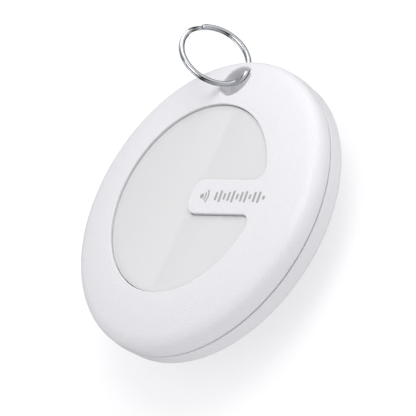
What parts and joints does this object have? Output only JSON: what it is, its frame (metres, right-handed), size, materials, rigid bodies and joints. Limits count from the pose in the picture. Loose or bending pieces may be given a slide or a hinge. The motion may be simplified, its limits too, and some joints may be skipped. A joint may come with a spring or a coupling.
{
  "type": "bluetooth tracker tag",
  "caption": "Round flat bluetooth tracker tag with a glossy press panel, a keyring hole with a split ring, and a battery door in its back.",
  "frame": {"origin": "centre of the flat back face", "axes": "+Z out of the front face, +Y towards the keyring hole, +X along the tongue towards the rim; the tag lies flat on its back"},
  "size_m": [0.0436, 0.0477, 0.0124],
  "materials": {
    "white_shell": "satin, fine moulded grain",
    "white_door": "satin, fine moulded grain",
    "gloss_panel": "high gloss",
    "grey_print": "pad-printed ink",
    "foam": "closed-cell foam",
    "board": "solder mask",
    "chip_epoxy": "moulded epoxy",
    "ceramic": "fired ceramic",
    "capacitor_body": "fired ceramic",
    "tin_plate": "tin plated",
    "gold_contact": "gold plated spring strip",
    "copper_wire": "enamelled copper winding",
    "switch_stem": "moulded nylon",
    "carrier_plastic": "moulded, plain",
    "cell_steel": "nickel plated",
    "seal_rubber": "silicone",
    "mesh_fabric": "fine woven mesh",
    "screw_steel": "zinc plated",
    "ring_nickel": "bright nickel plate"
  },
  "bodies": {
    "case": {"front_shell": "white_shell", "rear_cover": "white_shell", "front_mark": "grey_print", "panel_gasket": "foam", "circuit_board": "board", "bluetooth_chip": "chip_epoxy", "shield_can": "tin_plate", "main_crystal": "tin_plate", "clock_crystal": "tin_plate", "chip_antenna": "ceramic", "capacitors": "capacitor_body", "resistors": "chip_epoxy", "boost_inductor": "chip_epoxy", "buzzer_driver": "chip_epoxy", "buzzer_case": "chip_epoxy", "buzzer_coil": "copper_wire", "buzzer_diaphragm": "tin_plate", "sound_mesh": "mesh_fabric", "switch_case": "chip_epoxy", "switch_cover": "tin_plate", "cell_carrier": "carrier_plastic", "coin_cell": "cell_steel", "positive_contact": "gold_contact", "negative_contact": "gold_contact", "case_seal": "seal_rubber", "board_screws": "screw_steel"},
    "panel_button": {"front_panel": "gloss_panel"},
    "switch_stem": {"switch_plunger": "switch_stem"},
    "door": {"battery_door": "white_door", "door_seal": "seal_rubber", "door_pad": "foam"},
    "ring": {"split_ring": "ring_nickel"}
  },
  "joints": [
    {"name": "panel_press", "type": "slide", "parent": "case", "child": "panel_button", "axis": [0, 0, -1], "range_m": [0, 0.0002], "stiffness_N_per_m": 5000, "deforming": ["panel_gasket"]},
    {"name": "switch_travel", "type": "slide", "parent": "case", "child": "switch_stem", "axis": [0, 0, -1], "range_m": [0, 0.0002]},
    {"name": "door_turn", "type": "hinge", "parent": "case", "child": "door", "pos_m": [0, 0, 0], "axis": [0, 0, -1], "range_deg": [0, 30]},
    {"name": "ring_swing", "type": "hinge", "parent": "case", "child": "ring", "pos_m": [-0.00141, 0.02073, 0.00554], "axis": [-0.8611, -0.4931, -0.124], "range_deg": [-5, 145]}
  ],
  "couplings": [
    {"joint": "switch_travel", "follows": "panel_press", "ratio": 1}
  ]
}
